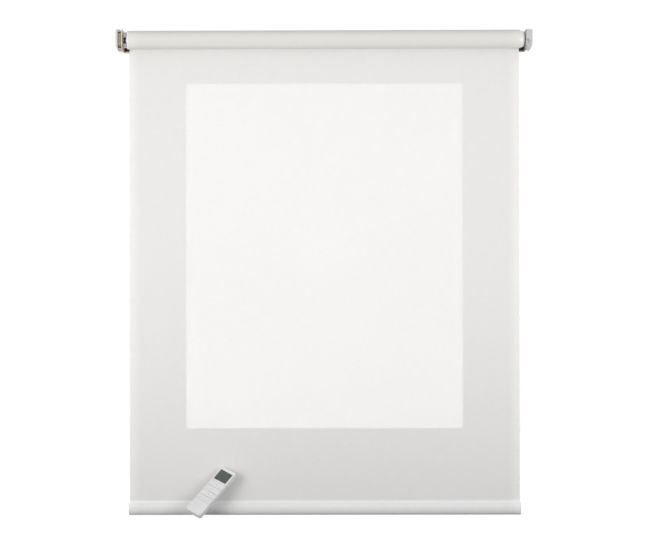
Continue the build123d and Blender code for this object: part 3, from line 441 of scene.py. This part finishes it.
looks = {
    "woven_cloth": cloth("woven_cloth", (0.90, 0.893, 0.88), 0.22, hung=True),
    # Painted light: the pocket's cloth is the hanging fabric's colour made a little lighter
    "lit_pocket_cloth": cloth("lit_pocket_cloth", (0.92, 0.915, 0.905), 0.04),
    # Painted shade: the wound cloth is the hanging fabric's colour made darker and warmer, for the
    # shade on the roll
    "shaded_wound_cloth": cloth("shaded_wound_cloth", (0.845, 0.823, 0.787), 0.1),
    "yellow_zinc": plated("yellow_zinc", (0.25, 0.22, 0.115), (0.37, 0.33, 0.18), 0.5, 0.35),
    "grey_zinc": plated("grey_zinc", (0.42, 0.39, 0.34), (0.58, 0.55, 0.49), 0.42, 0.5),
    # Painted highlight: the left plate is the seat's yellow zinc made much lighter and cream, for the
    # bright bend at its edge
    "left_plate_painted_highlight": plated("left_plate_painted_highlight", (0.54, 0.465, 0.32), (0.68, 0.60, 0.43), 0.45, 0.4),
    # Painted shade: the right plate is the idler seat's grey zinc made darker, for the shade in the
    # gap beside the roll
    "right_plate_painted_shade": plated("right_plate_painted_shade", (0.32, 0.305, 0.28), (0.46, 0.445, 0.42), 0.42, 0.5),
    # Painted light: the left cover is the same plastic as the right, its colour made lighter and lilac
    # for the light and reflections on it
    "left_cover": plastic("left_cover", (0.67, 0.625, 0.685), 0.2, coat=0.3, rim=(0.43, 0.42, 0.41)),
    "right_cover": plastic("right_cover", (0.57, 0.57, 0.575), 0.38, grain=0.00004),
    "black_plastic": plastic(
        "black_plastic", (0.013, 0.010, 0.009), 0.42, grain=0.00005, spread=0.25, shine=0.25
    ),
    "trim_ring": brushed("trim_ring", (0.40, 0.365, 0.40), 0.3, "X", 0.1),
    "dark_steel": brushed("dark_steel", (0.075, 0.07, 0.07), 0.4, "X", 0.2),
    "bright_steel": brushed("bright_steel", (0.60, 0.60, 0.61), 0.28, "X"),
    "can_steel": brushed("can_steel", (0.48, 0.48, 0.50), 0.35, "Y"),
    "aluminium": brushed("aluminium", (0.76, 0.76, 0.77), 0.32, "X"),
    "white_plastic": plastic("white_plastic", (0.90, 0.895, 0.885), 0.25, coat=0.5),
    "strip_plastic": plastic("strip_plastic", (0.72, 0.72, 0.70), 0.45),
    "grey_plastic": plastic("grey_plastic", (0.30, 0.30, 0.31), 0.45, spread=0.08),
    "gear_plastic": plastic("gear_plastic", (0.70, 0.66, 0.55), 0.4, spread=0.05),
    "handset_white": plastic("handset_white", (0.92, 0.92, 0.91), 0.3, grain=0.00002),
    "handset_grey": plastic("handset_grey", (0.74, 0.74, 0.735), 0.42, grain=0.00004),
    "key_ink": plastic("key_ink", (0.16, 0.16, 0.165), 0.5, grain=0.000005),
    "black_ink": plastic("black_ink", (0.012, 0.013, 0.012), 0.3, grain=0.000005),
    "board": circuit_board(),
    "display_glass": display_glass(),
    "liquid_crystal": liquid_crystal(),
    "rubber": plastic("rubber", (0.12, 0.12, 0.12), 0.7, grain=0.00006, spread=0.15),
    "cell_sleeve": plastic("cell_sleeve", (0.07, 0.16, 0.34), 0.3, spread=0.12),
}

LOOK_OF = {
    "yellow_zinc": ["motor_seat"],
    "grey_zinc": ["idler_seat"],
    "left_plate_painted_highlight": ["left_bracket_plate"],
    "right_plate_painted_shade": ["right_bracket_plate"],
    "left_cover": ["left_bracket_cover"],
    "right_cover": ["right_bracket_cover"],
    "black_plastic": [
        "left_release_lever", "right_release_lever", "idler_bush", "motor_head", "set_button",
    ],
    "trim_ring": ["head_trim_ring"],
    "dark_steel": ["charging_inlet"],
    "bright_steel": [
        "lever_rivets", "seat_screws", "idler_pin", "idler_spring", "motor_rotor", "first_carrier",
        "output_carrier", "battery_contacts", "handset_screws", "coin_cell",
    ],
    "can_steel": ["motor_can", "ring_gear"],
    "aluminium": ["roller_tube", "hem_bar"],
    "white_plastic": ["idler_plug", "crown_ring", "hem_end_caps", "idler_cap"],
    "strip_plastic": ["fabric_strip"],
    "grey_plastic": ["motor_housing", "battery_tray", "gearbox_cap", "drive_wheel"],
    "gear_plastic": [
        "first_planet_1", "first_planet_2", "first_planet_3",
        "second_planet_1", "second_planet_2", "second_planet_3",
    ],
    "handset_white": ["handset_back", "handset_front", "battery_door"],
    "handset_grey": ["handset_face", "key_up", "key_stop", "key_down", "key_left", "key_right"],
    "board": ["control_board", "handset_board"],
    "display_glass": ["display_window"],
    "liquid_crystal": ["display_panel"],
    "rubber": ["keypad_mat"],
    "cell_sleeve": ["battery_cells"],
    "woven_cloth": ["fabric_roll", "fabric_sheet", "hem_pocket"],
}
for look, names in LOOK_OF.items():
    for name in names:
        mesh = nodes[name].data
        mesh.materials.clear()
        mesh.materials.append(looks[look])


# Fabric pieces
def new_piece(name, points, faces, spots, look):
    """A mesh from points and faces, with its cloth coordinates in metres for each point."""
    mesh = bpy.data.meshes.new(name)
    mesh.from_pydata(points, [], faces)
    if spots:
        layer = mesh.uv_layers.new(name="cloth")
        for loop in mesh.loops:
            layer.data[loop.index].uv = spots[loop.vertex_index]
    mesh.materials.append(looks[look])
    mesh.shade_smooth()
    mesh.set_sharp_from_angle(angle=SHARP_EDGE)
    piece = bpy.data.objects.new(name, mesh)
    bpy.context.scene.collection.objects.link(piece)
    return piece


def spread_places(low, high, count):
    return [low + (high - low) * index / count for index in range(count + 1)]


def capped(faces, count, steps, half):
    """End faces for a band whose outline goes out along one side and back along the other."""
    last = steps * count
    for index in range(half - 1):
        other = count - 1 - index
        faces.append((index, index + 1, other - 1, other))
        faces.append((last + index, last + other, last + other - 1, last + index + 1))


def band(name, middle_line, places, look, wave=None):
    """Cloth of real thickness: a line of (y, z, run) in a section, carried along X."""
    outer = []
    inner = []
    for index, (y, z, run) in enumerate(middle_line):
        before = middle_line[max(index - 1, 0)]
        after = middle_line[min(index + 1, len(middle_line) - 1)]
        dy, dz = after[0] - before[0], after[1] - before[1]
        length = hypot(dy, dz)
        normal = (dz / length, -dy / length)
        outer.append((y + normal[0] * CLOTH / 2, z + normal[1] * CLOTH / 2, run))
        inner.append((y - normal[0] * CLOTH / 2, z - normal[1] * CLOTH / 2, run))
    outline = outer + inner[::-1]
    count = len(outline)
    points = []
    spots = []
    for x in places:
        for y, z, run in outline:
            dy, dz = wave(x, y, z) if wave else (0.0, 0.0)
            points.append((x, y + dy, z + dz))
            spots.append((x, run))
    faces = []
    steps = len(places) - 1
    for step in range(steps):
        low, high = step * count, (step + 1) * count
        for index in range(count):
            following = (index + 1) % count
            faces.append((low + index, low + following, high + following, high + index))
    capped(faces, count, steps, len(middle_line))
    return new_piece(name, points, faces, spots, look)


def roll_cloth():
    """The fabric wound on the tube, from the outermost lap's end at the back inward."""
    low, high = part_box("fabric_roll")
    outer = (high.z - low.z) / 2 - CLOTH / 2
    pitch = CLOTH - LAP_PRESS
    segments = 96
    line = []
    for index in range(LAPS * segments + 1):
        angle = 2 * pi * index / segments
        radius = outer - pitch * index / segments
        place = (ROLL_AXIS_Y + radius * cos(angle), radius * sin(angle), radius * angle)
        line.append(place)
    places = spread_places(low.x, high.x, 40)
    piece = band("roll_cloth", line, places, "shaded_wound_cloth")
    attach(piece, "roll")
    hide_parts("fabric_roll")
    return piece


def sheet_wave(x, y, z):
    """Slow waves in the hanging fabric, none where the roll and the hem hold it."""
    hold = smooth(-z, *HELD_BY_ROLL) * smooth(z - sheet_low.z, *HELD_BY_HEM)
    slow = noise.noise(Vector((x * 2.6, 0.3, z * 1.1)))
    edge = smooth(abs(x), *EDGE_BAND) * sin(z * 14.0) * 0.4
    return (slow + edge) * SHEET_WAVE * hold, 0.0


def hanging_cloth():
    """The fabric that hangs from the back of the roll down to the hem's weld."""
    middle = (sheet_low.y + sheet_high.y) / 2
    width, length = sheet_high.x - sheet_low.x, sheet_high.z - sheet_low.z
    line = [(middle, sheet_high.z - run, -run) for run in spread_places(0.0, length, 120)]
    places = spread_places(sheet_low.x, sheet_high.x, 90)
    piece = band("hanging_cloth", line, places, "woven_cloth", sheet_wave)
    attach(piece, "brackets")
    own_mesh(piece)
    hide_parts("fabric_sheet")
    return piece, (width, length)


def pocket_line():
    """The pocket's section, round the oval bar from the weld at the front to the weld at the back."""
    bar_low, bar_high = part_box("hem_bar")
    middle = (pocket_low.y + pocket_high.y) / 2
    half = (pocket_high.y - pocket_low.y) / 2 - CLOTH / 2
    centre = (bar_low.z + bar_high.z) / 2
    rise = centre - pocket_low.z - CLOTH / 2
    weld = pocket_high.z - WELD_HEIGHT
    across, up = SEAM_HALF / half, (weld - centre) / rise
    leaving = atan2(up, across) - acos(1 / hypot(across, up))
    right = [(SEAM_HALF, pocket_high.z), (SEAM_HALF, weld + WELD_RADIUS)]
    rows = 12
    for row in range(rows):
        t = row / rows
        flank = SEAM_HALF + (half * cos(leaving) - SEAM_HALF) * t
        bow = FLANK_BOW * sin(pi * t) ** 2
        right.append((flank + bow, weld + (centre + rise * sin(leaving) - weld) * t))
    steps = 32
    arc = []
    for step in range(steps + 1):
        angle = leaving - (pi + 2 * leaving) * step / steps
        arc.append((half * cos(angle), centre + rise * sin(angle)))
    left = [(-offset, z) for offset, z in reversed(right)]
    path = [(middle - offset, z) for offset, z in right + arc + left]
    line = []
    run = 0.0
    for index, (y, z) in enumerate(path):
        if index:
            run += hypot(y - path[index - 1][0], z - path[index - 1][1])
        line.append((y, z, -run))
    return line


def pocket_wave(x, y, z):
    """Small puckers below the weld."""
    below = pocket_high.z - z
    share = smooth(below, 0.0, PUCKER_START) * (1 - smooth(below, PUCKER_FULL, PUCKER_END))
    fine = noise.noise(Vector((x * 55.0, 2.0, z * 60.0)))
    slow = noise.noise(Vector((x * 16.0, 5.0, 0.0)))
    return PUCKER_DEPTH * (fine + 0.5 * slow) * share, 0.0


def hem_cloth():
    """The fabric pocket round the hem bar."""
    places = spread_places(pocket_low.x, pocket_high.x, 240)
    piece = band("hem_cloth", pocket_line(), places, "lit_pocket_cloth", pocket_wave)
    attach(piece, "hem")
    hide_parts("hem_pocket")
    return piece


roll_piece = roll_cloth()
hem_piece = hem_cloth()
sheet_piece, sheet_size = hanging_cloth()


def press_spring():
    """The idler's spring, which shortens as its pin slides in, gets a mesh of its own."""
    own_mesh(nodes["idler_spring"])


press_spring()


# What is printed on the handset
MARK_HALF = 0.002
MARK_RISE = 0.0018
MARK_LINE = 0.0006
INK_DEPTH = 0.00004
BORDER = 0.0016
SIDE_KEY_SHIFT = 0.0035


def handset_axes():
    """Across the handset's face, up it, and out of it."""
    out = -Vector(joints["key_up_press"]["axis"])
    up = -Vector(joints["battery_door_slide"]["axis"])
    return up.cross(out), up, out


def face_frame(name, axes):
    """The middle of a piece's outer face, and half its size across and up."""
    points = [vertex.co for vertex in nodes[name].data.vertices]
    top = max(axes[2].dot(point) for point in points)
    face = [point for point in points if axes[2].dot(point) > top - INK_DEPTH]
    middle = axes[2] * top
    halves = []
    for axis in axes[:2]:
        reach = [axis.dot(point) for point in face]
        middle += axis * (min(reach) + max(reach)) / 2
        halves.append((max(reach) - min(reach)) / 2)
    return middle, halves


def film(name, body, look, middle, spots, panes, rims):
    """A thin film of ink: spots in its plane, the panes between them, and the rims round it."""
    across, up, out = handset_axes()
    points = []
    for depth in (0.0, INK_DEPTH):
        points += [middle + across * x + up * y + out * depth for x, y in spots]
    count = len(spots)
    faces = [tuple(index + count for index in pane) for pane in panes]
    faces += [tuple(reversed(pane)) for pane in panes]
    for rim in rims:
        for index, spot in enumerate(rim):
            following = rim[(index + 1) % len(rim)]
            faces.append((spot, following, following + count, spot + count))
    piece = new_piece(name, points, faces, [], look)
    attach(piece, body)


def chevron(quarters):
    """An open arrow's spots, pointing up or turned by quarter turns to the left."""
    line = [(-MARK_HALF, -MARK_RISE / 2), (0.0, MARK_RISE / 2), (MARK_HALF, -MARK_RISE / 2)]
    spots = [(x, y - MARK_LINE) for x, y in line] + list(reversed(line))
    turn = Matrix.Rotation(pi / 2 * quarters, 2)
    return [turn @ Vector(spot) for spot in spots]


def dash():
    """A short level line's spots."""
    line = [(-MARK_HALF, 0.0), (0.0, 0.0), (MARK_HALF, 0.0)]
    return [(x, y - MARK_LINE) for x, y in line] + list(reversed(line))


def key_mark(name, spots, shift=0.0):
    """A mark on a key's face, of three spots along its lower side and three back along its upper."""
    axes = handset_axes()
    middle = face_frame(name, axes)[0] + axes[0] * shift
    panes = [(0, 1, 4, 5), (1, 2, 3, 4)]
    film(f"{name}_mark", name, "key_ink", middle, spots, panes, [(0, 1, 2, 3, 4, 5)])


def display_border():
    """The black print round the display, on its window; its dark also stands as painted shade in the
    recess round the display.
    """
    middle, halves = face_frame("display_window", handset_axes())
    spots = []
    for inset in (0.0, BORDER):
        x, y = halves[0] - inset, halves[1] - inset
        spots += [(-x, -y), (x, -y), (x, y), (-x, y)]
    panes = [(side, (side + 1) % 4, (side + 1) % 4 + 4, side + 4) for side in range(4)]
    rims = [(0, 1, 2, 3), (7, 6, 5, 4)]
    film("display_border", "handset", "black_ink", middle, spots, panes, rims)


key_mark("key_up", chevron(0))
key_mark("key_stop", dash())
key_mark("key_down", chevron(2))
key_mark("key_left", chevron(1), -SIDE_KEY_SHIFT)
key_mark("key_right", chevron(3), SIDE_KEY_SHIFT)
# Print on the display's window, also painted shade at the display's edge
display_border()


# Stage
def area_light(name, place, target, size, power, colour=(1.0, 1.0, 1.0)):
    data = bpy.data.lights.new(name, "AREA")
    data.shape = "RECTANGLE"
    data.size, data.size_y = size
    data.energy = power
    data.color = colour
    light = bpy.data.objects.new(name, data)
    direction = Vector(target) - Vector(place)
    turn = direction.to_track_quat("-Z", "Y").to_matrix().to_4x4()
    light.matrix_world = Matrix.Translation(place) @ turn
    light.visible_camera = False
    bpy.context.scene.collection.objects.link(light)
    return light


def brighten_foot(light):
    """An upright lamp becomes brighter at its foot than at its head."""
    light.use_nodes = True
    tree = light.node_tree
    place = tree.nodes.new("ShaderNodeNewGeometry")
    split = tree.nodes.new("ShaderNodeSeparateXYZ")
    rise = tree.nodes.new("ShaderNodeMapRange")
    rise.interpolation_type = "SMOOTHSTEP"
    rise.inputs["From Max"].default_value = 0.5
    rise.inputs["To Min"].default_value = GLOW_FOOT
    rise.inputs["To Max"].default_value = 1.0
    tree.links.new(place.outputs["Parametric"], split.inputs["Vector"])
    tree.links.new(split.outputs["Y"], rise.inputs["Value"])
    tree.links.new(rise.outputs["Result"], tree.nodes["Emission"].inputs["Strength"])


def seen_rays(tree):
    """1 for what the camera sees directly, in a mirror or through glass."""
    path = tree.nodes.new("ShaderNodeLightPath")
    total = path.outputs["Is Camera Ray"]
    for name in ("Is Glossy Ray", "Is Transmission Ray"):
        node = tree.nodes.new("ShaderNodeMath")
        node.operation = "MAXIMUM"
        tree.links.new(total, node.inputs[0])
        tree.links.new(path.outputs[name], node.inputs[1])
        total = node.outputs["Value"]
    return total


def studio_world():
    world = bpy.data.worlds.new("studio")
    world.use_nodes = True
    tree = world.node_tree
    level = tree.nodes["Background"]
    level.inputs["Color"].default_value = (1.0, 1.0, 1.0, 1.0)
    level.inputs["Strength"].default_value = STUDIO_LEVEL
    seen = tree.nodes.new("ShaderNodeBackground")
    seen.inputs["Color"].default_value = (1.0, 1.0, 1.0, 1.0)
    seen.inputs["Strength"].default_value = WHITE
    mix = tree.nodes.new("ShaderNodeMixShader")
    tree.links.new(seen_rays(tree), mix.inputs["Fac"])
    tree.links.new(level.outputs["Background"], mix.inputs[1])
    tree.links.new(seen.outputs["Background"], mix.inputs[2])
    tree.links.new(mix.outputs["Shader"], tree.nodes["World Output"].inputs["Surface"])
    bpy.context.scene.world = world


def studio_floor():
    """A pale floor that keeps the object's shadow, and is plain white further off."""
    height = cad_low.z - FLOOR_GAP
    signs = [(-1, -1), (1, -1), (1, 1), (-1, 1)]
    corners = [(FLOOR_REACH * x, FLOOR_REACH * y, height) for x, y in signs]
    mesh = bpy.data.meshes.new("floor")
    mesh.from_pydata(corners, [], [(0, 1, 2, 3)])
    shading = Shading("pale_floor", 0.9)
    shading.surface.inputs["Base Color"].default_value = (FLOOR_SHADE, FLOOR_SHADE, FLOOR_SHADE, 1.0)
    shading.surface.inputs["Specular IOR Level"].default_value = 0.0
    seen = seen_rays(shading.tree)
    near = shading.add("ShaderNodeEmission")
    shading.join(shading.maths("MULTIPLY", seen, FLOOR_GLOW), near.inputs["Strength"])
    lit = shading.add("ShaderNodeAddShader")
    shading.join(shading.surface.outputs["BSDF"], lit.inputs[0])
    shading.join(near.outputs["Emission"], lit.inputs[1])
    far = shading.add("ShaderNodeEmission")
    beyond = shading.maths("MULTIPLY", seen, WHITE - STUDIO_LEVEL)
    shading.join(shading.maths("ADD", beyond, STUDIO_LEVEL), far.inputs["Strength"])
    distance = shading.add("ShaderNodeVectorMath", operation="LENGTH")
    shading.join(shading.places(FADE_SHAPE), distance.inputs[0])
    fade = shading.add("ShaderNodeMapRange", interpolation_type="SMOOTHSTEP")
    fade.inputs["From Min"].default_value = FADE_FROM
    fade.inputs["From Max"].default_value = FADE_TO
    shading.join(distance.outputs["Value"], fade.inputs["Value"])
    mix = shading.add("ShaderNodeMixShader")
    shading.join(fade.outputs["Result"], mix.inputs["Fac"])
    shading.join(lit.outputs["Shader"], mix.inputs[1])
    shading.join(far.outputs["Emission"], mix.inputs[2])
    shading.join(mix.outputs["Shader"], shading.tree.nodes["Material Output"].inputs["Surface"])
    mesh.materials.append(shading.material)
    floor = bpy.data.objects.new("floor", mesh)
    bpy.context.scene.collection.objects.link(floor)


def make_camera():
    data = bpy.data.cameras.new("camera")
    data.lens = CAMERA_LENS
    camera = bpy.data.objects.new("camera", data)
    turn = Matrix.Rotation(CAMERA_TURN, 4, "Z")
    tilt = Matrix.Rotation(pi / 2 + CAMERA_TILT, 4, "X")
    roll = Matrix.Rotation(CAMERA_ROLL, 4, "Z")
    camera.matrix_world = Matrix.Translation(CAMERA_PLACE) @ turn @ tilt @ roll
    bpy.context.scene.collection.objects.link(camera)
    bpy.context.scene.camera = camera


studio_world()
studio_floor()
area_light("key", KEY_PLACE, LAMP_TARGET, (1.0, 1.0), KEY_POWER)
area_light("fill", FILL_PLACE, LAMP_TARGET, (1.0, 1.0), FILL_POWER, FILL_COLOUR)
area_light("daylight", DAYLIGHT_PLACE, LAMP_TARGET, (1.2, 1.0), DAYLIGHT_POWER)
glow = area_light("glow", GLOW_PLACE, GLOW_TARGET, GLOW_SIZE, GLOW_POWER, GLOW_COLOUR)
glow.data.spread = GLOW_SPREAD
brighten_foot(glow.data)
make_camera()
bpy.context.scene.view_settings.view_transform = "Standard"
